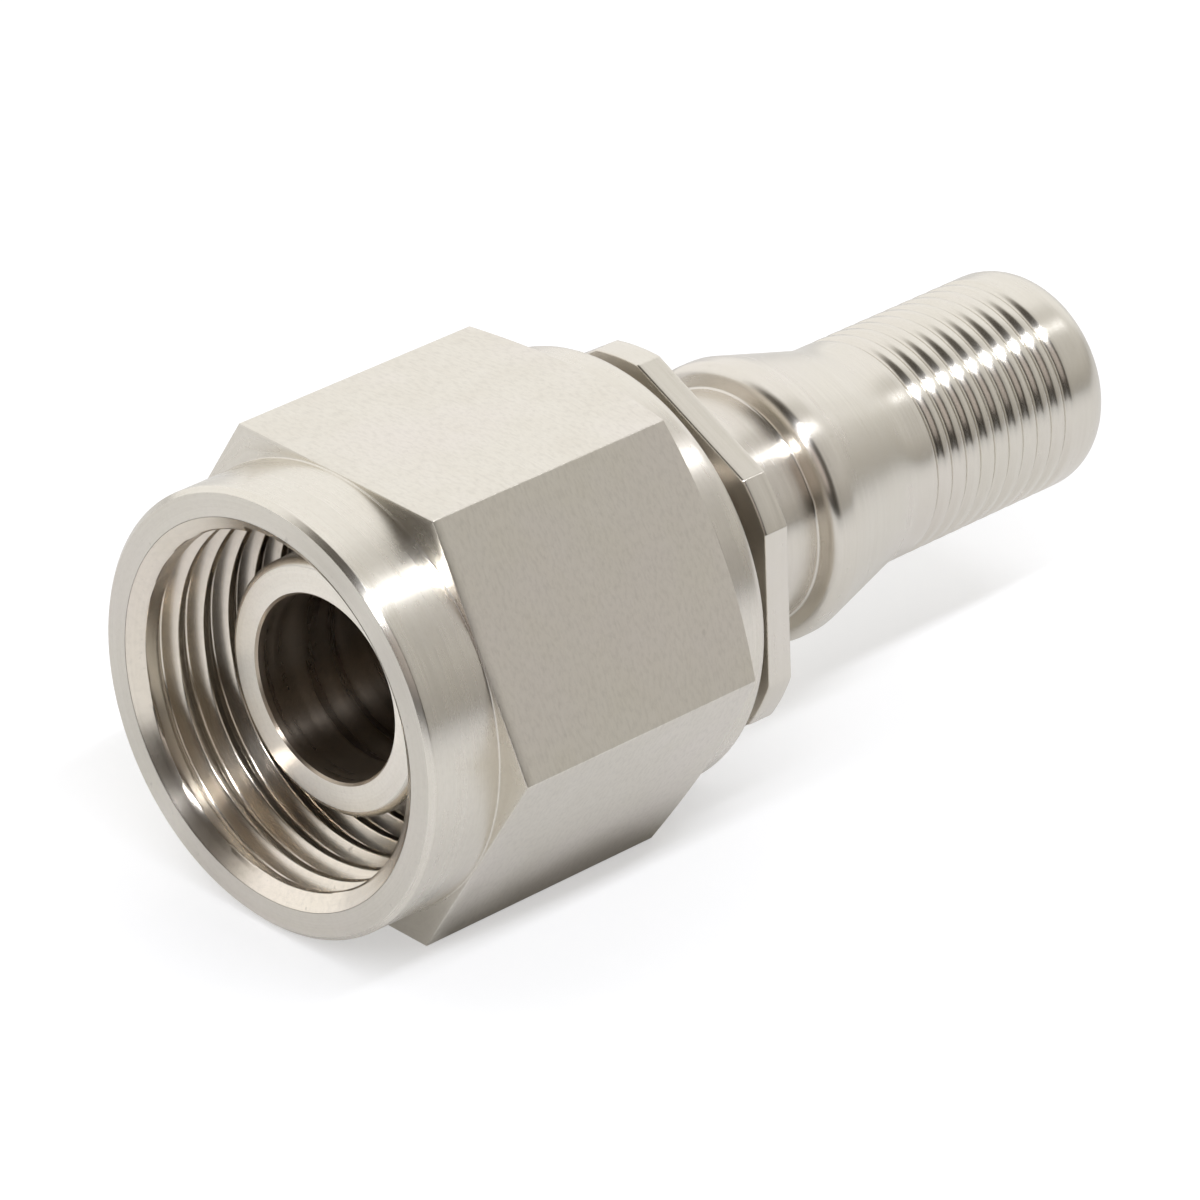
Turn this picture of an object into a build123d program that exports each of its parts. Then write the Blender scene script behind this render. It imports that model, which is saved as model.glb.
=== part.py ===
from build123d import *
from math import cos, radians, tan
import os

# Swivel hose nipple: a turned nipple with a grooved hose tail, carried in a captive union nut.
# Millimetres. The X axis is the axis of every turned form, x = 0 is the flat sealing face of the
# nipple's nose, +X runs towards the hose and +Z is up. The nut lies on one of its six flats.
# Depths, walls, lips, steps and clearances are all measured along a radius.

# Thread of the union nut: 3/4-16 UNF, right-hand
thread_diameter = 19.05     # nominal
thread_pitch = 1.5875
thread_flank_angle = 30.0   # each flank, from square to the axis
thread_depth = 0.725        # from the nominal diameter in to the crests
root_clearance = 0.035      # the thread's groove goes this far beyond the nominal diameter
crest_width = 0.375
thread_length = 12.2        # from the mouth face
thread_start = 0.68         # from the mouth face to the middle of the groove where it starts
thread_start_angle = 30.0   # where that is, from straight above the axis towards +Y
countersink_lip = 0.075     # from the nominal diameter out to the edge of the mouth
countersink_angle = 55.0    # cone of the countersink, from the axis
relief_depth = 0.125        # run-out groove behind the thread, beyond the nominal diameter
relief_length = 1.9

# Union nut, outside
nut_wall = 1.5875           # from the thread's nominal diameter out to the flats: 7/8 inch across
mouth_lead = 3.65           # the nut's mouth stands this far ahead of the nose
collar_step = 0.1125        # from the flats in to the round collar ahead of the hexagon
collar_length = 4.2
collar_edge = 0.25          # chamfer round the mouth face, outside
nut_hex_length = 14.65      # along a corner of the hexagon
nut_chamfer_angle = 23.0    # cone over the rear corners, from the face
boss_step = 0.1625          # from the flats in to the round boss behind the hexagon
boss_length = 2.0
boss_fillet = 0.6

# Nose and journal of the nipple
nose_diameter = 12.7
nose_edge = 0.45            # rounded outer edge of the sealing face
nose_bore_edge = 0.12
nose_length = 9.0
shoulder_angle = 45.0       # cone from the nose up to the journal
journal_step = 1.25         # from the nose out to the journal
journal_clearance = 0.05    # round the journal, so that the nut turns freely
rear_clearance = 1.35       # from the nut's rear face to the nipple's hexagon

# Split ring of round wire that holds the nut on the nipple
wire_diameter = 1.6
wire_clearance = 0.03       # round the wire in the nut's groove
squeeze_clearance = 0.15    # under the wire when it is squeezed into the nipple for fitting
ring_setback = 3.4          # from the nut's rear face to the middle of the wire
ring_gap_angle = 24.0

# Thin hexagon on the nipple, with its corners turned down
flange_flats = 19.05        # a 3/4 inch spanner
flange_corner_diameter = 20.6
flange_thickness = 1.5
flange_turn = 25.5          # how far it stands turned from the nut's flats

# Neck and bulged collar that the crimped ferrule grips
neck_diameter = 11.8
neck_length = 5.7
bulge_diameter = 14.2
bulge_front_radius = 1.15
bulge_land = 0.25
cone_length = 5.55          # from the bulge down to the tail

# Hose tail
tail_diameter = 11.2
tail_length = 12.4          # from the cone to the start of the rounded end
tail_end_radius = 2.0
groove_count = 10
groove_pitch = 1.0
groove_start = 1.85         # from the cone's end to the middle of the first groove
groove_width = 0.64
groove_depth = 0.2

# Flow passage
nose_bore_diameter = 9.2
nose_bore_length = 29.0
tail_bore_diameter = 7.0
drill_angle = 59.0          # half angle of the step between the two bores

# Union nut, radii and places along X
nut_half_flats = thread_diameter / 2 + nut_wall
nut_corner_radius = nut_half_flats / cos(radians(30))
collar_radius = nut_half_flats - collar_step
boss_radius = nut_half_flats - boss_step
thread_radius = thread_diameter / 2 - thread_depth
countersink_radius = thread_diameter / 2 + countersink_lip
relief_radius = thread_diameter / 2 + relief_depth
mouth_x = -mouth_lead
nut_hex_front = mouth_x + collar_length
nut_hex_rear = nut_hex_front + nut_hex_length
boss_front = nut_hex_rear + (nut_corner_radius - boss_radius) * tan(radians(nut_chamfer_angle))
nut_rear = boss_front + boss_length

# Nipple, places along X
ring_x = nut_rear - ring_setback
flange_front = nut_rear + rear_clearance
neck_front = flange_front + flange_thickness
bulge_front = neck_front + neck_length
cone_front = bulge_front + bulge_front_radius + bulge_land
tail_front = cone_front + cone_length
tail_round = tail_front + tail_length
tail_end = tail_round + tail_end_radius

# Radii that two pieces share
journal_radius = nose_diameter / 2 + journal_step
rear_bore_radius = journal_radius + journal_clearance
wire_radius = wire_diameter / 2
ring_radius = rear_bore_radius
nut_groove_radius = wire_radius + wire_clearance

os.makedirs("parts", exist_ok=True)

# Union nut: a hexagon with its rear corners coned off, between a round collar and a round boss
with BuildPart() as union_nut:
    with BuildSketch(Plane.YZ.offset(nut_hex_front)):
        RegularPolygon(nut_half_flats, 6, major_radius=False)
    extrude(amount=boss_front - nut_hex_front)

    # The cone starts clear of the corners and comes down to the boss
    cone_start_radius = 2 * nut_half_flats
    cone_start = boss_front - (cone_start_radius - boss_radius) * tan(radians(nut_chamfer_angle))
    with BuildSketch(Plane.XZ):
        with BuildLine():
            Polyline(
                (mouth_x, 0),
                (mouth_x, cone_start_radius),
                (cone_start, cone_start_radius),
                (boss_front, boss_radius),
                (boss_front, 0),
                close=True,
            )
        make_face()
    revolve(axis=Axis.X, mode=Mode.INTERSECT)

    with BuildSketch(Plane.XZ):
        with BuildLine():
            Polyline(
                (mouth_x, 0),
                (mouth_x, collar_radius - collar_edge),
                (mouth_x + collar_edge, collar_radius),
                (nut_hex_front, collar_radius),
                (nut_hex_front, 0),
                close=True,
            )
        make_face()
    revolve(axis=Axis.X)

    with BuildSketch(Plane.XZ):
        with BuildLine():
            Line((boss_front, 0), (boss_front, boss_radius))
            Line((boss_front, boss_radius), (nut_rear - boss_fillet, boss_radius))
            RadiusArc(
                (nut_rear - boss_fillet, boss_radius),
                (nut_rear, boss_radius - boss_fillet),
                boss_fillet,
            )
            Line((nut_rear, boss_radius - boss_fillet), (nut_rear, 0))
            Line((nut_rear, 0), (boss_front, 0))
        make_face()
    revolve(axis=Axis.X)

    # Inside: countersink, thread bore, run-out groove and the rear bore on the journal
    countersink_end = mouth_x + (countersink_radius - thread_radius) / tan(radians(countersink_angle))
    thread_end = mouth_x + thread_length
    relief_end = thread_end + relief_length
    with BuildSketch(Plane.XZ):
        with BuildLine():
            Polyline(
                (mouth_x, 0),
                (mouth_x, countersink_radius),
                (countersink_end, thread_radius),
                (thread_end, thread_radius),
                (thread_end, relief_radius),
                (relief_end, relief_radius),
                (relief_end, rear_bore_radius),
                (nut_rear, rear_bore_radius),
                (nut_rear, 0),
                close=True,
            )
        make_face()
    revolve(axis=Axis.X, mode=Mode.SUBTRACT)

    # Thread: a groove swept along a helix, from its blunt start out into the run-out groove
    helix_start = mouth_x + thread_start
    groove_inside = thread_depth / 8
    groove_outside = thread_depth + root_clearance
    half_inside = (thread_pitch - crest_width) / 2 + groove_inside * tan(radians(thread_flank_angle))
    half_outside = (thread_pitch - crest_width) / 2 - groove_outside * tan(radians(thread_flank_angle))
    with BuildPart(mode=Mode.PRIVATE) as thread_groove:
        with BuildLine():
            helix = Helix(
                thread_pitch,
                thread_end + relief_length / 2 - helix_start,
                thread_radius,
                center=(helix_start, 0, 0),
                direction=(1, 0, 0),
            )
        with BuildSketch(Plane(helix @ 0, x_dir=(1, 0, 0), z_dir=(0, -1, 0))):
            with BuildLine():
                Polyline(
                    (-half_inside, -groove_inside),
                    (-half_outside, groove_outside),
                    (half_outside, groove_outside),
                    (half_inside, -groove_inside),
                    close=True,
                )
            make_face()
        sweep(path=helix, is_frenet=True)
    add(thread_groove.part.rotate(Axis.X, -thread_start_angle), mode=Mode.SUBTRACT)

    # Round groove that holds the outer half of the wire ring
    with BuildSketch(Plane.XZ):
        with Locations((ring_x, ring_radius)):
            Circle(nut_groove_radius)
    revolve(axis=Axis.X, mode=Mode.SUBTRACT)

union_nut.part.label = "union_nut"
export_step(union_nut.part, "parts/union_nut.step")

# Nipple: one turned piece from the sealing face to the rounded end of the hose tail
shoulder_rear = nose_length + (journal_radius - nose_diameter / 2) / tan(radians(shoulder_angle))
with BuildPart() as nipple:
    with BuildSketch(Plane.XZ):
        with BuildLine():
            Line((0, 0), (0, nose_diameter / 2 - nose_edge))
            RadiusArc((0, nose_diameter / 2 - nose_edge), (nose_edge, nose_diameter / 2), nose_edge)
            Polyline(
                (nose_edge, nose_diameter / 2),
                (nose_length, nose_diameter / 2),
                (shoulder_rear, journal_radius),
                (flange_front, journal_radius),
                (flange_front, neck_diameter / 2),
                (bulge_front, neck_diameter / 2),
                (bulge_front, bulge_diameter / 2 - bulge_front_radius),
            )
            RadiusArc(
                (bulge_front, bulge_diameter / 2 - bulge_front_radius),
                (bulge_front + bulge_front_radius, bulge_diameter / 2),
                bulge_front_radius,
            )
            Polyline(
                (bulge_front + bulge_front_radius, bulge_diameter / 2),
                (cone_front, bulge_diameter / 2),
                (tail_front, tail_diameter / 2),
                (tail_round, tail_diameter / 2),
            )
            RadiusArc(
                (tail_round, tail_diameter / 2),
                (tail_end, tail_diameter / 2 - tail_end_radius),
                tail_end_radius,
            )
            Line((tail_end, tail_diameter / 2 - tail_end_radius), (tail_end, 0))
            Line((tail_end, 0), (0, 0))
        make_face()
    revolve(axis=Axis.X)

    # Thin hexagon, its corners cut to a circle
    with BuildSketch(Plane.YZ.offset(flange_front)):
        RegularPolygon(flange_flats / 2, 6, major_radius=False, rotation=flange_turn)
        Circle(flange_corner_diameter / 2, mode=Mode.INTERSECT)
    extrude(amount=flange_thickness)

    # Round-bottomed grooves round the hose tail
    groove_radius = (groove_width**2 / 4 + groove_depth**2) / (2 * groove_depth)
    groove_centre = tail_diameter / 2 - groove_depth + groove_radius
    groove_places = [
        (tail_front + groove_start + groove_pitch * number, groove_centre) for number in range(groove_count)
    ]
    with BuildSketch(Plane.XZ):
        with Locations(*groove_places):
            Circle(groove_radius)
    revolve(axis=Axis.X, mode=Mode.SUBTRACT)

    # Groove deep enough to squeeze the wire ring into while the nut slides on
    with BuildSketch(Plane.XZ):
        with BuildLine():
            Polyline(
                (ring_x - nut_groove_radius, journal_radius),
                (ring_x - nut_groove_radius, journal_radius - wire_diameter - squeeze_clearance),
                (ring_x + nut_groove_radius, journal_radius - wire_diameter - squeeze_clearance),
                (ring_x + nut_groove_radius, journal_radius),
                close=True,
            )
        make_face()
    revolve(axis=Axis.X, mode=Mode.SUBTRACT)

    # Flow passage: a wide bore from the nose, stepped down by the drill's cone to the tail's bore
    nose_bore_radius = nose_bore_diameter / 2
    tail_bore_radius = tail_bore_diameter / 2
    step_end = nose_bore_length + (nose_bore_radius - tail_bore_radius) / tan(radians(drill_angle))
    with BuildSketch(Plane.XZ):
        with BuildLine():
            Polyline(
                (0, 0),
                (0, nose_bore_radius + nose_bore_edge),
                (nose_bore_edge, nose_bore_radius),
                (nose_bore_length, nose_bore_radius),
                (step_end, tail_bore_radius),
                (tail_end, tail_bore_radius),
                (tail_end, 0),
                close=True,
            )
        make_face()
    revolve(axis=Axis.X, mode=Mode.SUBTRACT)

nipple.part.label = "nipple"
export_step(nipple.part, "parts/nipple.step")

# Split wire ring, sprung out into the nut's groove
with BuildPart() as retaining_ring:
    with BuildSketch(Plane.XZ):
        with Locations((ring_x, ring_radius)):
            Circle(wire_radius)
    revolve(axis=Axis.X, revolution_arc=360 - ring_gap_angle)

retaining_ring.part.label = "retaining_ring"
export_step(retaining_ring.part, "parts/retaining_ring.step")
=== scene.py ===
import math

import bmesh
import bpy
import numpy as np
from mathutils import Matrix


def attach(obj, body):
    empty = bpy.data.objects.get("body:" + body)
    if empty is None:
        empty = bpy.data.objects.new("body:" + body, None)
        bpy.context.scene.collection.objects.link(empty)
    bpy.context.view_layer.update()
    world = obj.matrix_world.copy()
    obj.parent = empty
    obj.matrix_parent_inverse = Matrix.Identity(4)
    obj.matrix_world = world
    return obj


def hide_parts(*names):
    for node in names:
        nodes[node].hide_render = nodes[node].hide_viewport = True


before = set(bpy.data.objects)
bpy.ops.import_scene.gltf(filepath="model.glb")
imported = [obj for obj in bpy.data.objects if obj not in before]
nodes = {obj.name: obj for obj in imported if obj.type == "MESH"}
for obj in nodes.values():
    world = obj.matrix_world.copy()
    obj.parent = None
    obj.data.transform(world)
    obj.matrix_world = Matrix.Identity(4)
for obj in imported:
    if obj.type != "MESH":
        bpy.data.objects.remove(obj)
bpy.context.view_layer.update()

scene = bpy.context.scene
tau = 2 * math.pi
cos30 = math.cos(math.radians(30))   # a hexagon's flats over its corners
tiny = 1e-6
print("frame loaded: " + ", ".join(sorted(nodes)))


# Shapes are worked out in millimetres. Angles run from +Z towards +Y, round the X axis

meshing = {
    "columnStep": 1.5, "sameColumn": 0.06, "arcStep": 11, "straight": 89.5, "sharpFrom": 38,   # degrees
    "longestReach": 0.49,   # share of a run that the arc at one end may take
    "millimetre": 0.001, "merged": 2e-7, "collapsed": 1e-8,   # metres
    "mapWidth": 100.0,   # millimetres along the section for one unit of U
}


def anglesWith(breaks):
    # Even steps round the circle in degrees, with the exact break angles added. First and last are one place
    even = np.arange(0, 360, meshing["columnStep"])
    extra = np.mod(np.asarray(breaks, float), 360)
    apart = np.min(np.abs((even[:, None] - extra[None, :] + 180) % 360 - 180), axis=1)
    kept = even[apart > meshing["sameColumn"]]
    return np.radians(np.append(np.unique(np.concatenate([kept, extra])), 360.0))


def hexRadius(angle, apothem, edge, firstCorner):
    # Outline of a hexagon in polar form: apothem / cos of the angle from the flat's middle,
    # and near a corner the small circle of radius edge that rounds it
    fromCorner = np.abs((np.degrees(angle) - firstCorner + 30) % 60 - 30)
    flat = apothem / np.cos(np.radians(30 - fromCorner))
    centre = (apothem - edge) / cos30
    inside = np.maximum(edge**2 - (centre * np.sin(np.radians(fromCorner)))**2, 0)
    corner = centre * np.cos(np.radians(fromCorner)) + np.sqrt(inside)
    tangent = math.degrees(math.atan2(edge / 2, centre + edge * cos30))
    return np.where(fromCorner < tangent, corner, flat)


def roundedLine(points):
    # A line of (x, r, radius) corners, each with a radius turned into an arc that touches both its runs.
    # Arc: with unit directions a and b away from the corner, its ends are radius / tan(half the angle) away
    out = [tuple(points[0][:2])]
    for before, here, after in zip(points[:-2], points[1:-1], points[2:]):
        p, radius = np.array(here[:2]), here[2]
        a, b = np.array(before[:2]) - p, np.array(after[:2]) - p
        la, lb = np.hypot(*a), np.hypot(*b)
        a, b = a / la, b / lb
        half = math.acos(max(-1.0, min(1.0, float(a @ b)))) / 2
        if radius <= 0 or half > math.radians(meshing["straight"]):
            out.append(tuple(p))
            continue
        reach = min(radius / math.tan(half), meshing["longestReach"] * la, meshing["longestReach"] * lb)
        bow = reach * math.tan(half)
        middle = p + (a + b) / np.hypot(*(a + b)) * bow / math.sin(half)
        start, end = p + a * reach - middle, p + b * reach - middle
        turn = math.atan2(start[0] * end[1] - start[1] * end[0], float(start @ end))
        steps = max(2, int(math.ceil(abs(turn) / math.radians(meshing["arcStep"]))))
        across = np.array([-start[1], start[0]])
        for k in np.linspace(0, turn, steps + 1):
            out.append(tuple(middle + start * math.cos(k) + across * math.sin(k)))
    out.append(tuple(points[-1][:2]))
    return out


def quarterTurn(count):
    # Pairs (sine, cosine) in even steps over a quarter of a circle
    turn = np.radians(np.linspace(0, 90, count))
    return list(zip(np.sin(turn), np.cos(turn)))


def sectionRows(cols):
    # The rows of a section as they are gathered: place along X and radius in every column, finish and wear
    rows = {"x": [], "r": [], "zone": [], "worn": []}

    def add(x, r, zone, wear=0.0):
        for key, value in (("x", x), ("r", r), ("worn", wear)):
            rows[key].append(np.ones(cols) * value)
        rows["zone"].append(zone)

    return rows, add


def gridPiece(name, x, r, angle, along, zone, worn, materials):
    # One closed skin from a grid: row i, column j is at (x, r sin angle, r cos angle).
    # The UV map holds the distance along the profile in U and the turn round the axis in V
    rows, cols = x.shape
    place = np.stack([x, r * np.sin(angle)[None, :], r * np.cos(angle)[None, :]], -1).reshape(-1, 3)
    i, j = np.meshgrid(np.arange(rows - 1), np.arange(cols - 1), indexing="ij")
    a = (i * cols + j).ravel()
    quads = np.stack([a, a + cols, a + cols + 1, a + 1], -1)
    mesh = bpy.data.meshes.new(name)
    mesh.from_pydata((place * meshing["millimetre"]).tolist(), [], quads.tolist())
    uv = mesh.uv_layers.new(name="turned")
    turn = np.broadcast_to(angle[None, :] / tau, x.shape)
    pair = np.stack([along / meshing["mapWidth"], turn], -1).reshape(-1, 2)
    uv.data.foreach_set("uv", pair[quads.ravel()].astype(np.float32).ravel())
    mark = mesh.attributes.new("worn", "FLOAT", "POINT")
    mark.data.foreach_set("value", worn.astype(np.float32).ravel())
    mesh.polygons.foreach_set("material_index", np.repeat(zone, cols - 1).astype(np.int32))
    work = bmesh.new()
    work.from_mesh(mesh)
    bmesh.ops.remove_doubles(work, verts=work.verts, dist=meshing["merged"])
    bmesh.ops.dissolve_degenerate(work, edges=work.edges, dist=meshing["collapsed"])
    work.to_mesh(mesh)
    work.free()
    for m in materials:
        mesh.materials.append(m)
    mesh.shade_smooth()
    mesh.set_sharp_from_angle(angle=math.radians(meshing["sharpFrom"]))
    piece = bpy.data.objects.new(name, mesh)
    scene.collection.objects.link(piece)
    print(f"{name}: {len(mesh.polygons)} faces")
    return piece


# Short ways to make nodes. A value that comes from another node is linked, and any other is set on the socket

def feed(tree, value, socket):
    if isinstance(value, bpy.types.NodeSocket):
        tree.links.new(value, socket)
    else:
        socket.default_value = value


def noded(tree, kind, inputs, **settings):
    n = tree.nodes.new("ShaderNode" + kind)
    for key, value in settings.items():
        setattr(n, key, value)
    for key, value in inputs.items():
        feed(tree, value, n.inputs[key])
    return n


def worked(tree, how, *values):
    return noded(tree, "Math", dict(enumerate(values)), operation=how).outputs[0]


def ranged(tree, value, limits, first, last, smooth=False):
    inputs = {"From Min": limits[0], "From Max": limits[1], "To Min": first, "To Max": last, "Value": value}
    easing = "SMOOTHSTEP" if smooth else "LINEAR"
    return noded(tree, "MapRange", inputs, interpolation_type=easing).outputs[0]


def mixed(tree, amount, base, colour):
    n = noded(tree, "Mix", {}, data_type="RGBA")
    for key, value in (("B", (*colour, 1)), ("A", base), ("Factor", amount)):
        feed(tree, value, n.inputs[key])
    return n.outputs["Result"]


def ramped(tree, value, stops):
    # A colour ramp with a stop for each (place, colour)
    n = noded(tree, "ValToRGB", {"Fac": value})
    ramp = n.color_ramp.elements
    for k, (place, colour) in enumerate(stops[:2]):
        ramp[k].position, ramp[k].color = place, (*colour, 1)
    for place, colour in stops[2:]:
        ramp.new(place).color = (*colour, 1)
    return n.outputs["Color"]


# Steel. A noise is (scale, detail, roughness), and From says over which of its values a mark comes in
steelLook = {
    "tint": (0.745, 0.708, 0.636), "shade": (0.705, 0.664, 0.588), "blush": (0.745, 0.690, 0.645),
    # The browning that paints shade into a finish takes these shares from red, green and blue; lightest caps
    # a finish's painted light
    "pit": (0.30, 0.27, 0.235), "lightest": 0.95, "paintedShadeBrowning": (0, 0.5, 1), "toneFrom": 0.36, "toneTo": 0.62,
    "lines": (1.0, 3.0, 0.6), "lineWidth": 0.1,
    "bands": (1.0, 2.0, 0.5), "bandWidth": 0.02, "bandLength": 0.5, "bandsFrom": (0.3, 0.7),
    "mottle": (480.0, 4.0, 0.6), "mottleFrom": (0.35, 0.65), "mottleRough": (0.95, 1.05),
    "clouds": (120.0, 3.0, 0.55), "cloudsFrom": (0.42, 0.66),
    "dabs": (1.0, 3.0, 0.65), "dabSize": (480, 170), "dabsFrom": (0.45, 0.70),
    "dust": (2600.0, 2.0, 0.6), "dustFrom": (0.68, 0.76),
    "chips": (900.0, 3.0, 0.65), "chipsFrom": (0.52, 0.64), "sunk": -2.0,
}
# The first value scales a finish's colour, and so paints light and shade into it: above 1 it is painted light
# on the collar, the faced nose and the thread, below 1 painted shade in the drilled bore. The second browns
# the colour as painted shade in the thread and the bore. grain the dark cutter marks, rough and stretch the
# shader.
# lines is how fine the tool lines are across, runs how often they break per turn, and depth how deep they
# are, in metres
finishValues = (
    "light", "paintedShadeBrown", "grain", "rough", "stretch", "lines", "runs", "depth",
    "bands", "patches", "pits", "nicks",
)
finishes = {
    "milled flat": (1.0, 0.0, 0.16, 0.33, 0.30, 9000, 46, 0.9e-6, 0.04, 0.55, 0.10, 1.2),
    # The collar's, the nose's and the thread's first value above 1 is painted light, and the thread's
    # browning painted shade
    "turned collar": (1.03, 0.0, 0.07, 0.28, 0.84, 11000, 5, 0.5e-6, 0.10, 0.40, 0.08, 0.8),
    "faced end": (1.0, 0.0, 0.07, 0.39, 0.86, 13000, 5, 0.6e-6, 0.10, 0.40, 0.25, 0.8),
    "faced nose": (1.28, 0.0, 0.08, 0.36, 0.82, 12000, 5, 0.6e-6, 0.10, 0.40, 0.12, 0.6),
    "cut thread": (1.08, 0.06, 0.1, 0.22, 0.76, 15000, 4, 0.6e-6, 0.12, 0.40, 0.25, 0.5),
    "turned nipple": (1.0, 0.0, 0.03, 0.25, 0.86, 12000, 5, 0.5e-6, 0.10, 0.40, 0.08, 0.6),
    # The drilled bore's first value below 1 and its browning are painted shade in the recess
    "drilled bore": (0.66, 0.20, 0.14, 0.31, 0.90, 8000, 3, 0.25e-6, 0.20, 0.50, 0.25, 0.4),
    "drawn wire": (1.0, 0.0, 0.05, 0.25, 0.10, 9000, 4, 0.8e-6, 0.10, 0.40, 0.20, 0.3),
}


def steel(name):
    # Bare stainless steel, cut in lines round the axis. U of the map runs across the lines
    f, s = dict(zip(finishValues, finishes[name])), steelLook
    m = bpy.data.materials.new(name)
    m.use_nodes = True
    tree = m.node_tree
    tree.nodes.clear()
    place = noded(tree, "TexCoord", {}).outputs["Object"]
    turned = noded(tree, "UVMap", {}, uv_map="turned").outputs[0]

    # Scales the steel's colour by the finish's painted light or shade, and browns it as painted shade
    def light(colour):
        lit = [k * f["light"] * (1 - f["paintedShadeBrown"] * w) for k, w in zip(colour, s["paintedShadeBrowning"])]
        return [min(s["lightest"], k) for k in lit]

    def noise(vector, kind):
        scale, detail, rough = s[kind]
        inputs = {"Scale": scale, "Detail": detail, "Roughness": rough, "Vector": vector}
        return noded(tree, "TexNoise", inputs).outputs["Fac"]

    def stretched(across, along):
        return noded(tree, "Mapping", {"Scale": (across, along, 1.0), "Vector": turned}).outputs[0]

    # Tool lines and broader bands: noise that is fine across the lines and long along them
    lines = noise(stretched(f["lines"] * s["lineWidth"], f["runs"]), "lines")
    bands = noise(stretched(f["lines"] * s["bandWidth"], f["runs"] * s["bandLength"]), "bands")
    mottle, clouds = noise(place, "mottle"), noise(place, "clouds")
    pits = ranged(tree, noise(place, "dust"), s["dustFrom"], 0.0, f["pits"])
    worn = noded(tree, "Attribute", {}, attribute_name="worn").outputs["Fac"]
    nicks = ranged(tree, noise(place, "chips"), s["chipsFrom"], 0.0, f["nicks"])
    chips = worked(tree, "MULTIPLY", nicks, worn)

    spots = worked(tree, "MULTIPLY", mottle, f["patches"])
    streaks = worked(tree, "MULTIPLY", lines, 1.0 - f["patches"])
    stops = (s["toneFrom"], light(s["shade"])), (s["toneTo"], light(s["tint"]))
    hue = ramped(tree, worked(tree, "ADD", spots, streaks), stops)
    hue = mixed(tree, ranged(tree, clouds, s["cloudsFrom"], 0.0, f["patches"]), hue, light(s["blush"]))
    # Cutter dabs: short marks that lie along the tool lines
    dabs = noise(stretched(*s["dabSize"]), "dabs")
    hue = mixed(tree, ranged(tree, dabs, s["dabsFrom"], 0.0, f["grain"]), hue, s["pit"])
    hue = mixed(tree, pits, hue, s["pit"])

    soft, even = f["rough"], f["bands"]
    banded = ranged(tree, bands, s["bandsFrom"], soft * (1 - even), soft * (1 + even))
    rough = worked(tree, "MULTIPLY", banded, ranged(tree, mottle, s["mottleFrom"], *s["mottleRough"]))

    # Pits and chips are sunk in the tool lines
    sunk = worked(tree, "MULTIPLY", worked(tree, "ADD", pits, chips), s["sunk"])
    height = worked(tree, "ADD", lines, sunk)
    bump = noded(tree, "Bump", {"Strength": 1.0, "Distance": f["depth"], "Height": height})
    tangent = noded(tree, "Tangent", {}, direction_type="UV_MAP", uv_map="turned")
    skin = noded(tree, "BsdfPrincipled", {
        "Metallic": 1.0, "Anisotropic": f["stretch"], "Tangent": tangent.outputs[0],
        "Base Color": hue, "Roughness": rough, "Normal": bump.outputs[0],
    })
    noded(tree, "OutputMaterial", {"Surface": skin.outputs[0]})
    return m


made = {name: steel(name) for name in finishes}
print("steel made")


# Union nut

nutShape = {
    "halfFlats": 11.1125, "mouth": -3.65, "hexFront": 0.55, "hexRear": 15.2, "coneAngle": 23.0,
    "firstCorner": 30, "cornerEdge": 0.10, "cornerColumns": (0, 0.11, 0.22, 0.3), "cornerWear": 0.9,
    "collar": 11.0, "collarEdge": 0.25, "collarEdgeRound": (0.06, 0.10), "collarRoot": 0.08, "lipLap": 0.02,
    "collarLead": 0.45, "collarEnd": 0.10, "breakEdge": 0.05, "breakShare": 0.3, "frontRows": (0.35, 0.7),
    "flatRows": (0.03, 0.97), "coneRows": (0.15, 0.3, 0.5, 0.7, 0.85, 1.0),
    "rearEdge": ((-0.05, 0, 0.8), (-0.02, -0.002, 1.0), (0.02, -0.045, 1.0)),   # behind the foot, out, wear
    "boss": 10.95, "bossLength": 2.0, "bossFillet": 0.6, "bossRows": (0.1, 0.3, 0.6, 0.9),
    "rearBore": 7.65, "boreEdge": 0.15, "boreWear": 0.6,
    "ringSetback": 3.4, "ringGroove": 0.83, "ringLead": 0.2,
    "reliefRadius": 9.65, "reliefFront": 8.55, "reliefRear": 10.45,
    "rows": {"face": 8, "collar": 14, "root": 5, "edge": 4, "flat": 22, "fillet": 9, "rear": 6, "ring": 15},
    "finishes": ("milled flat", "faced end", "turned collar", "cut thread", "drilled bore"),
}
# crestAt is one crest's middle at the top, and plainBefore the turn from it before which the wall is plain.
# The profile is half a crest and half a groove: place along the axis from the crest's middle, and depth
threadShape = {
    "pitch": 1.5875, "crest": 8.8, "root": 9.562, "crestAt": -0.46,
    "countersink": 9.6, "countersinkSlope": 1.43, "cornerReach": 0.05, "cornerLift": 0.0125,
    "startAngle": 12.0, "startColumns": (-0.7, 0, 0.35), "plainBefore": -1.0, "spareRows": 3,
    "profile": [
        (0.0, 0.0), (0.12, 0.0), (0.165, 0.006), (0.20, 0.03), (0.236, 0.085), (0.35, 0.281),
        (0.463, 0.477), (0.569, 0.66), (0.605, 0.712), (0.655, 0.745), (0.72, 0.76),
    ],
}


def threadRows():
    # One pitch of the thread's section, even about its crest: place along the axis in pitches, depth
    t = threadShape
    s, d = np.array(t["profile"]).T
    place = np.concatenate([s, [t["pitch"] / 2], (t["pitch"] - s[1:])[::-1]])
    depth = np.concatenate([d, [t["root"] - t["crest"]], d[1:][::-1]])
    return place / t["pitch"], depth


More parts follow.
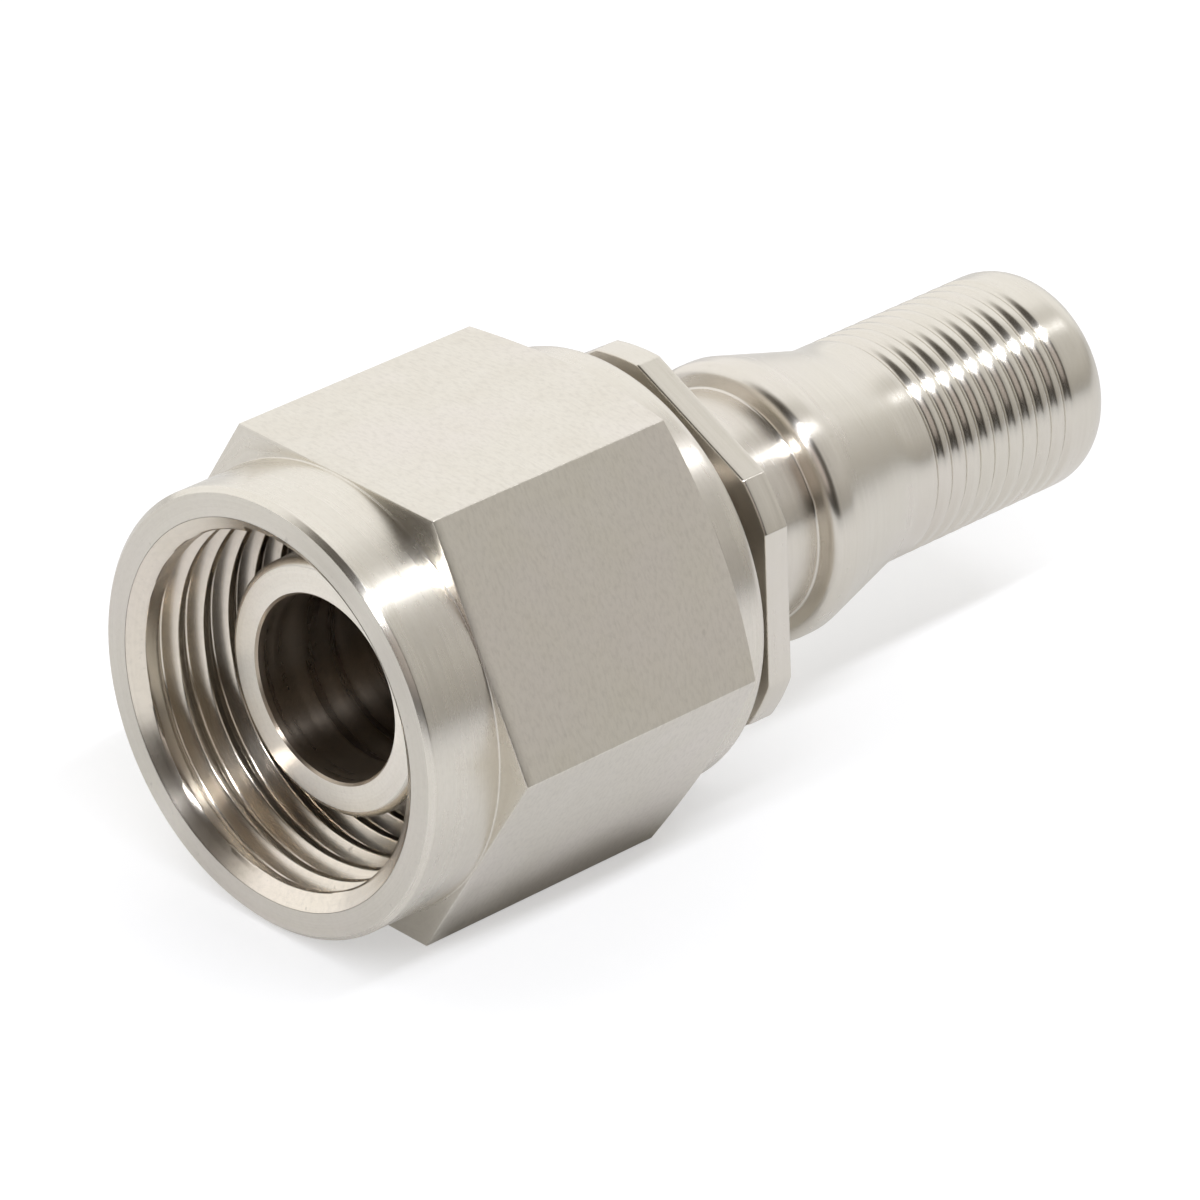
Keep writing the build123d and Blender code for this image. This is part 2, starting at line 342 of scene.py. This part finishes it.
def threadSurface(angle):
    # Row w and column angle are at x = crestAt + pitch (w - turn), held between the mouth and the run-out.
    # The radius is the section's, or the countersink's where that is wider, and the corner between is eased
    n, t = nutShape, threadShape
    place, depth = threadRows()
    pitch, mouth, end = t["pitch"], n["mouth"], n["reliefFront"]
    first = int(math.floor((mouth - t["crestAt"]) / pitch)) - 1
    last = int(math.ceil((end - t["crestAt"]) / pitch)) + 2
    w = (np.arange(first, last)[:, None] + place[None, :]).ravel()[::-1]
    d = np.tile(depth, last - first)[::-1]
    turn = angle / tau
    x = t["crestAt"] + pitch * (w[:, None] - turn[None, :])
    held = np.clip(x, mouth, end)
    phase = np.mod((held - t["crestAt"]) / pitch + turn[None, :], 1.0)
    section = t["crest"] + np.interp(phase, np.append(place, 1.0), np.append(depth, depth[0]))
    section = np.where(x == held, t["crest"] + d[:, None], section)
    # The groove starts bluntly at one angle. Past it the wall is plain up to the first crest
    plain = (w[:, None] < t["plainBefore"]) & (np.degrees(angle)[None, :] > t["startAngle"] + tiny)
    section = np.where(plain, t["crest"], section)
    cone = t["countersink"] - (held - mouth) * t["countersinkSlope"]
    near = np.clip(1 - np.abs(section - cone) / t["cornerReach"], 0, 1)
    radius = np.maximum(section, cone) + t["cornerLift"] * near**2
    spare = pitch / len(place) * t["spareRows"]
    used = (x > mouth - spare).any(1) & (x < end + spare).any(1)
    return held[used], radius[used]


def unionNut():
    # Rows go round the closed section: mouth face, collar, hexagon, boss, rear face, rear bore, run-out,
    # thread. The hexagon ends where the cone meets it: x = boss's front - (hexagon - boss) tan(cone)
    n, t = nutShape, threadShape
    flatZone, faceZone, turnedZone, threadZone, boreZone = range(5)
    corners = np.arange(n["firstCorner"], n["firstCorner"] + 360, 60)
    breaks = [corners + k * side for k in n["cornerColumns"] for side in (-1, 1)]
    angle = anglesWith(np.concatenate([*breaks, np.add(t["startAngle"], t["startColumns"])]))
    hexagon = hexRadius(angle, n["halfFlats"], n["cornerEdge"], n["firstCorner"])
    slope = math.tan(math.radians(n["coneAngle"]))
    mouth, front, collar, boss, e = n["mouth"], n["hexFront"], n["collar"], n["boss"], n["breakEdge"]
    bossFront = n["hexRear"] + (n["halfFlats"] / cos30 - boss) * slope
    rear = bossFront + n["bossLength"]
    rows, add = sectionRows(len(angle))
    count = n["rows"]

    # Mouth face and collar
    chamfer, (faceRound, collarRound) = n["collarEdge"], n["collarEdgeRound"]
    lip = roundedLine([(mouth, t["countersink"] - n["lipLap"], 0), (mouth, collar - chamfer, faceRound),
                       (mouth + chamfer, collar, collarRound), (front, collar, 0)])
    face = [p for p in lip if abs(p[0] - mouth) < tiny]
    for r in np.linspace(face[0][1], face[-1][1], count["face"]):
        add(mouth, r, faceZone)
    for x, r in lip[len(face):-1]:
        add(x, r, turnedZone, 1.0)
    for x in np.linspace(mouth + n["collarLead"], front - n["collarEnd"], count["collar"]):
        add(x, collar, turnedZone)
    # Front of the hexagon: a small fillet, the face, and a broken edge
    root = n["collarRoot"]
    reach = np.minimum(root, (hexagon - collar) * 0.5)
    for up, left in quarterTurn(count["root"]):
        add(front - root + root * up, collar + reach * (1 - left), turnedZone)
    for k in n["frontRows"]:
        add(front, collar + (hexagon - collar) * k, turnedZone)
    broken = np.minimum(e, (hexagon - collar) * n["breakShare"])
    for up, left in quarterTurn(count["edge"]):
        add(front + e * (1 - left), hexagon - broken * (1 - up), flatZone, 1.0)
    # Flats, up to the curve where the cone cuts them
    foot = bossFront - (hexagon - boss) * slope
    for k in np.linspace(*n["flatRows"], count["flat"]):
        add(front + e + (foot - front - e) * k, hexagon, flatZone)
    for behind, out, wear in n["rearEdge"]:
        add(foot + behind, hexagon + out, turnedZone if behind > 0 else flatZone, wear)
    for k in n["coneRows"]:
        add(foot + (bossFront - foot) * k, hexagon + (boss - hexagon) * k, turnedZone)
    # Boss, its round edge and the rear face
    fillet = n["bossFillet"]
    for k in n["bossRows"]:
        add(bossFront + (n["bossLength"] - fillet) * k, boss, turnedZone)
    for up, left in quarterTurn(count["fillet"]):
        add(rear - fillet * (1 - up), boss - fillet * (1 - left), turnedZone)
    for r in np.linspace(boss - fillet, n["rearBore"] + n["boreEdge"], count["rear"])[1:]:
        add(rear, r, faceZone)
    add(rear - n["boreEdge"], n["rearBore"], faceZone, n["boreWear"])
    # Rear bore with the wire's groove, run-out groove
    ring, groove = rear - n["ringSetback"], n["ringGroove"]
    add(ring + groove + n["ringLead"], n["rearBore"], boreZone)
    for c in np.radians(np.linspace(0, 180, count["ring"])):
        add(ring + groove * math.cos(c), n["rearBore"] + groove * math.sin(c), boreZone)
    add(n["reliefRear"], n["rearBore"], boreZone)
    add(n["reliefRear"], n["reliefRadius"], boreZone)
    add(n["reliefFront"], n["reliefRadius"], boreZone)
    for x, r in zip(*threadSurface(angle)):
        add(x, r, threadZone)
    add(mouth, t["countersink"] - n["lipLap"], faceZone)

    x, r, worn, zones = (np.array(rows[key]) for key in ("x", "r", "worn", "zone"))
    everyCorner = np.append(corners, corners[0] - 60)
    fromCorner = np.min(np.abs(np.degrees(angle)[None, :] - everyCorner[:, None]), axis=0)
    near = np.exp(-(fromCorner / n["cornerWear"])**2)
    worn = np.maximum(worn, (zones == flatZone)[:, None] * near[None, :])
    step = np.hypot(np.diff(x.mean(1)), np.diff(r.mean(1)))
    along = np.append(0, np.cumsum(step))[:, None] + np.zeros_like(x)
    along = np.where(zones[:, None] == threadZone, x, along)
    materials = [made[f] for f in n["finishes"]]
    return gridPiece("union_nut_threaded", x, r, angle, along, zones[:-1], worn, materials)


nut = unionNut()
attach(nut, "nut")
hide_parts("union_nut")


# Nipple

nippleShape = {
    "nose": 6.35, "noseEdge": 0.45, "noseLength": 9.0, "shoulderRear": 10.25, "softCorner": 0.1,
    "journal": 7.6, "ringFrom": 13.77, "ringTo": 15.43, "ringDepth": 5.85, "softEdge": 0.05,
    "flangeFront": 19.35, "flangeRear": 20.85, "flangeFlat": 9.525, "flangeCorner": 10.3,
    "flangeFirstCorner": 4.5, "flangeEdge": 0.12, "flangeLap": 1.0, "flangeRound": 0.1, "edgeWear": 0.8,
    "flangeRows": (0.2, 0.4, 0.6, 0.8), "flangeColumns": (-0.5, 0, 0.5),
    "neck": 5.9, "neckFront": 0.22, "neckRear": 0.16, "bulgeFront": 26.55, "bulge": 7.1, "bulgeRound": 1.15,
    "coneFront": 27.95, "coneFrontRound": 1.6, "coneRearRound": 4.0,
    "tail": 5.6, "tailFront": 33.5, "tailLead": 1.2, "tailEnd": 47.9, "endRadius": 2.0, "endLead": 0.2,
    "grooves": 10, "groovePitch": 1.0, "grooveStart": 1.85, "grooveWidth": 0.74, "grooveDepth": 0.2,
    "noseBore": 4.6, "boreEdge": 0.12, "stepFront": 29.0, "stepRear": 29.66, "tailBore": 3.5,
    "faceGap": 0.3, "noseGap": 1.2, "neckGap": 0.6, "endGap": 0.4, "boreGap": 1.5,   # longest faces along it
    "rows": {"edge": 5, "groove": 13, "end": 15},
    "finishes": ("turned nipple", "faced nose", "drilled bore"),
}


def nippleProfile():
    # The turned section as lines of (x, r), once round from the nose to the tail and back through the bore
    n = nippleShape
    soft, crisp, lap = n["softCorner"], n["softEdge"], n["flangeFlat"] - n["flangeLap"]
    nose = roundedLine([
        (0, n["noseBore"] + n["boreEdge"], 0), (0, n["nose"], n["noseEdge"]),
        (n["noseLength"], n["nose"], soft), (n["shoulderRear"], n["journal"], soft),
        (n["ringFrom"], n["journal"], crisp), (n["ringFrom"], n["ringDepth"], soft),
        (n["ringTo"], n["ringDepth"], soft), (n["ringTo"], n["journal"], crisp),
        (n["flangeFront"], n["journal"], soft), (n["flangeFront"], lap, 0)])
    neck = roundedLine([
        (n["flangeRear"], lap, 0), (n["flangeRear"], n["neck"], n["neckFront"]),
        (n["bulgeFront"], n["neck"], n["neckRear"]), (n["bulgeFront"], n["bulge"], n["bulgeRound"]),
        (n["coneFront"], n["bulge"], n["coneFrontRound"]), (n["tailFront"], n["tail"], n["coneRearRound"]),
        (n["tailFront"] + n["tailLead"], n["tail"], 0)])
    # Each groove dips by depth cos^2 over its width
    half = n["grooveWidth"] / 2
    s = np.linspace(-half, half, n["rows"]["groove"])
    centres = n["tailFront"] + n["grooveStart"] + n["groovePitch"] * np.arange(n["grooves"])
    grooveX = (centres[:, None] + s[None, :]).ravel()
    grooveR = n["tail"] - np.tile(n["grooveDepth"] * np.cos(s / half * math.pi / 2)**2, n["grooves"])
    bow, tip = n["endRadius"], n["tailEnd"]
    quarter = quarterTurn(n["rows"]["end"])
    ball = [(tip - bow * (1 - up), n["tail"] - bow * (1 - left), 0) for up, left in quarter]
    end = roundedLine([
        (grooveX[-1] + n["endLead"], n["tail"], 0), *ball, (tip, n["tailBore"], crisp),
        (n["stepRear"], n["tailBore"], crisp), (n["stepFront"], n["noseBore"], crisp),
        (n["boreEdge"], n["noseBore"], 0), (0, n["noseBore"] + n["boreEdge"], 0)])
    return nose, neck, np.stack([grooveX, grooveR], -1), end


def nipple():
    # Every row is a circle, but the thin hexagon's rows follow min(hexagon, corner circle), drawn in by the
    # rounding of its edge
    n = nippleShape
    turnedZone, noseZone, boreZone = range(3)
    nose, neck, groove, end = nippleProfile()
    half = math.degrees(math.acos(n["flangeFlat"] / n["flangeCorner"]))
    flats = n["flangeFirstCorner"] + 30 + np.arange(0, 360, 60)
    breaks = [flats + side * half + k for side in (-1, 1) for k in n["flangeColumns"]]
    angle = anglesWith(np.concatenate(breaks))
    outline = hexRadius(angle, n["flangeFlat"], n["flangeRound"], n["flangeFirstCorner"])
    outline = np.minimum(outline, n["flangeCorner"])
    rows, add = sectionRows(len(angle))

    def run(line, zone, gap):
        # Long runs are divided, so that no face is much longer than the gap
        line = np.asarray(line, float)
        for (x0, r0), (x1, r1) in zip(line[:-1], line[1:]):
            parts = max(1, int(math.hypot(x1 - x0, r1 - r0) / gap))
            for k in range(parts):
                add(x0 + (x1 - x0) * k / parts, r0 + (r1 - r0) * k / parts, zone)
        add(line[-1][0], line[-1][1], zone)

    noseRows = sum(p[0] < tiny for p in nose)
    run(nose[:noseRows], noseZone, n["faceGap"])
    run(nose[noseRows:], turnedZone, n["noseGap"])
    e, front, rear = n["flangeEdge"], n["flangeFront"], n["flangeRear"]
    for up, left in quarterTurn(n["rows"]["edge"]):
        add(front + e * (1 - left), outline - e * (1 - up), turnedZone, n["edgeWear"])
    for k in n["flangeRows"]:
        add(front + (rear - front) * k, outline, turnedZone)
    for up, left in quarterTurn(n["rows"]["edge"])[::-1]:
        add(rear - e * (1 - left), outline - e * (1 - up), turnedZone, n["edgeWear"])
    run(neck, turnedZone, n["neckGap"])
    for gx, gr in groove:
        add(gx, gr, turnedZone)
    faceFrom = n["tail"] - n["endRadius"] - tiny
    inward = next(k for k, p in enumerate(end) if p[0] >= n["tailEnd"] - tiny and p[1] < faceFrom)
    run(end[:inward], turnedZone, n["endGap"])
    run(end[inward:], boreZone, n["boreGap"])
    x, r, worn, zones = (np.array(rows[key]) for key in ("x", "r", "worn", "zone"))
    step = np.hypot(np.diff(x.mean(1)), np.diff(r.mean(1)))
    along = np.append(0, np.cumsum(step))[:, None] + np.zeros_like(x)
    materials = [made[f] for f in n["finishes"]]
    return gridPiece("nipple_turned", x, r, angle, along, zones[:-1], worn, materials)


stem = nipple()
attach(stem, "nipple")
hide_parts("nipple")

wire = nodes["retaining_ring"]
wire.data.materials.clear()
wire.data.materials.append(made["drawn wire"])


# Studio: a white tent, one long strip lamp, a pale floor and the camera at the photograph's view

# shadeLow dims the tent towards the horizon, shadeSide on its -Y side and openDark where the camera stands,
# with a lighter core round the camera itself. Ends are where such a change starts and stops
tentLook = {
    "light": 1.13, "shadeLow": 0.62, "lowEnds": (0.0, 0.42), "shadeSide": 0.68, "sideEnds": (-0.10, 0.18),
    "openSide": (-0.62, -0.62, 0.48), "openDark": 0.06, "openEnds": (0.26, 0.60),
    "core": (0.60, 0.545, 0.515), "coreEnds": (0.93, 0.975),
    "hues": (
        (0.0, (0.0, 0.0, 0.0)), (1.0, (1.0, 1.0, 1.0)), (0.55, (0.565, 0.55, 0.52)),
        (0.06, (0.066, 0.056, 0.046)),
    ),
}
# seen is the glow that the camera meets, and mirrored the one that the steel does. It fades out towards -Y
# and is shaded close under the nut, where the nut itself takes the light away
floorLook = {
    "below": 0.01114, "size": 6.0, "paper": 0.60, "seen": 0.46, "mirrored": 0.22,
    "far": 0.0, "fadeEnds": (-0.14, -0.03), "underDark": 0.2,
    "underSides": (0.0070, 0.0090), "underFront": (0.0, 0.003), "underRear": (0.014, 0.020),
}
stripLook = {
    "toward": (0, -0.432, 0.902), "far": 0.50, "at": -0.31, "long": 1.06, "wide": 0.042, "power": 2.9,
    "colour": (0.96, 0.985, 1.05),
}


def tent():
    # The world: light = side shade * open side's shade, made a colour that is warmer where it is dimmer
    t = tentLook
    world = bpy.data.worlds.new("tent")
    scene.world = world
    world.use_nodes = True
    tree = world.node_tree
    tree.nodes.clear()
    where = noded(tree, "TexCoord", {}).outputs["Generated"]
    parts = noded(tree, "SeparateXYZ", {0: where}).outputs
    facing = np.array(t["openSide"]) / np.linalg.norm(t["openSide"])
    dot = noded(tree, "VectorMath", {1: facing.tolist(), 0: where}, operation="DOT_PRODUCT")
    toward = dot.outputs["Value"]
    low = ranged(tree, parts["Z"], t["lowEnds"], t["shadeLow"], 1.0, True)
    shaded = worked(tree, "MULTIPLY", low, t["shadeSide"])
    side = ranged(tree, parts["Y"], t["sideEnds"], shaded, 1.0, True)
    opened = ranged(tree, toward, t["openEnds"], 1.0, t["openDark"], True)
    hue = ramped(tree, worked(tree, "MULTIPLY", side, opened), t["hues"])
    hue = mixed(tree, ranged(tree, toward, t["coreEnds"], 0.0, 1.0, True), hue, t["core"])
    # What the camera sees behind the object is plain white
    hue = mixed(tree, noded(tree, "LightPath", {}).outputs["Is Camera Ray"], hue, (1, 1, 1))
    back = noded(tree, "Background", {"Color": hue, "Strength": t["light"]})
    noded(tree, "OutputWorld", {"Surface": back.outputs[0]})


def floor():
    # A pale sheet that glows a little where it is seen, so that it is white but keeps the object's shadow.
    # Glow = seen * camera ray + mirrored * (glossy or transmission ray) * fade * shade under the nut
    f = floorLook
    mesh = bpy.data.meshes.new("floor")
    h, z = f["size"] / 2, -f["below"]
    mesh.from_pydata([(-h, -h, z), (h, -h, z), (h, h, z), (-h, h, z)], [], [(0, 1, 2, 3)])
    sheet = bpy.data.objects.new("floor", mesh)
    scene.collection.objects.link(sheet)
    m = bpy.data.materials.new("paper")
    m.use_nodes = True
    tree = m.node_tree
    tree.nodes.clear()
    ray = noded(tree, "LightPath", {}).outputs
    where = noded(tree, "NewGeometry", {}).outputs["Position"]
    parts = noded(tree, "SeparateXYZ", {0: where}).outputs
    faded = ranged(tree, parts["Y"], f["fadeEnds"], f["far"], f["mirrored"], True)
    beside = ranged(tree, worked(tree, "ABSOLUTE", parts["Y"]), f["underSides"], f["underDark"], 1.0, True)
    ahead = ranged(tree, parts["X"], f["underFront"], 1.0, 0.0, True)
    behind = ranged(tree, parts["X"], f["underRear"], 0.0, 1.0, True)
    lit = worked(tree, "MAXIMUM", beside, worked(tree, "MAXIMUM", ahead, behind))
    mirrored = worked(tree, "MAXIMUM", ray["Is Glossy Ray"], ray["Is Transmission Ray"])
    weak = worked(tree, "MULTIPLY", mirrored, worked(tree, "MULTIPLY", faded, lit))
    strong = worked(tree, "MULTIPLY_ADD", ray["Is Camera Ray"], f["seen"], weak)
    paper = noded(tree, "BsdfDiffuse", {"Color": (*[f["paper"]] * 3, 1)})
    glow = noded(tree, "Emission", {"Strength": strong})
    both = noded(tree, "AddShader", {0: paper.outputs[0], 1: glow.outputs[0]})
    noded(tree, "OutputMaterial", {"Surface": both.outputs[0]})
    mesh.materials.append(m)


def placed(name, data, across, up, back, place):
    # An object whose X, Y and Z axes are across, up and back
    holder = bpy.data.objects.new(name, data)
    scene.collection.objects.link(holder)
    rows = np.stack([across, up, back, place], -1).tolist()
    holder.matrix_world = Matrix(rows + [(0, 0, 0, 1)])
    return holder


def stripLamp():
    # One long lamp over the object, along the X axis
    s = stripLook
    lamp = bpy.data.lights.new("strip", "AREA")
    lamp.shape = "RECTANGLE"
    lamp.size, lamp.size_y = s["long"], s["wide"]
    lamp.energy = s["power"]
    lamp.color = s["colour"]
    toward = np.array(s["toward"]) / np.linalg.norm(s["toward"])
    along = np.array([1.0, 0, 0])
    placed("strip", lamp, along, np.cross(toward, along), toward, toward * s["far"] + along * s["at"])


cameraView = {
    "centre": (0.022, 0, 0), "far": 0.41275265, "across": 0.00298729, "up": 0.00300556,
    "yaw": 0.77866, "pitch": 0.50039, "roll": 0.02531, "focal": 8700.72, "image": 1200,
    "sensor": 36.0, "near": 0.01, "farthest": 20.0,
}


def cameraAtPhoto():
    # Look = (cos yaw cos pitch, sin yaw cos pitch, -sin pitch), with the frame rolled about it
    v = cameraView
    yaw, pitch, roll = v["yaw"], v["pitch"], v["roll"]
    look = np.array([math.cos(yaw) * math.cos(pitch), math.sin(yaw) * math.cos(pitch), -math.sin(pitch)])
    right = np.cross(look, [0, 0, 1])
    right /= np.linalg.norm(right)
    top = np.cross(right, look)
    across = math.cos(roll) * right + math.sin(roll) * top
    up = -math.sin(roll) * right + math.cos(roll) * top
    data = bpy.data.cameras.new("camera")
    data.sensor_width = v["sensor"]
    data.lens = v["focal"] / v["image"] * v["sensor"]
    data.clip_start, data.clip_end = v["near"], v["farthest"]
    place = np.array(v["centre"]) - v["far"] * look - v["across"] * across - v["up"] * up
    scene.camera = placed("camera", data, across, up, -look, place)


tent()
floor()
stripLamp()
cameraAtPhoto()
scene.view_settings.view_transform = "Standard"
print("studio set")
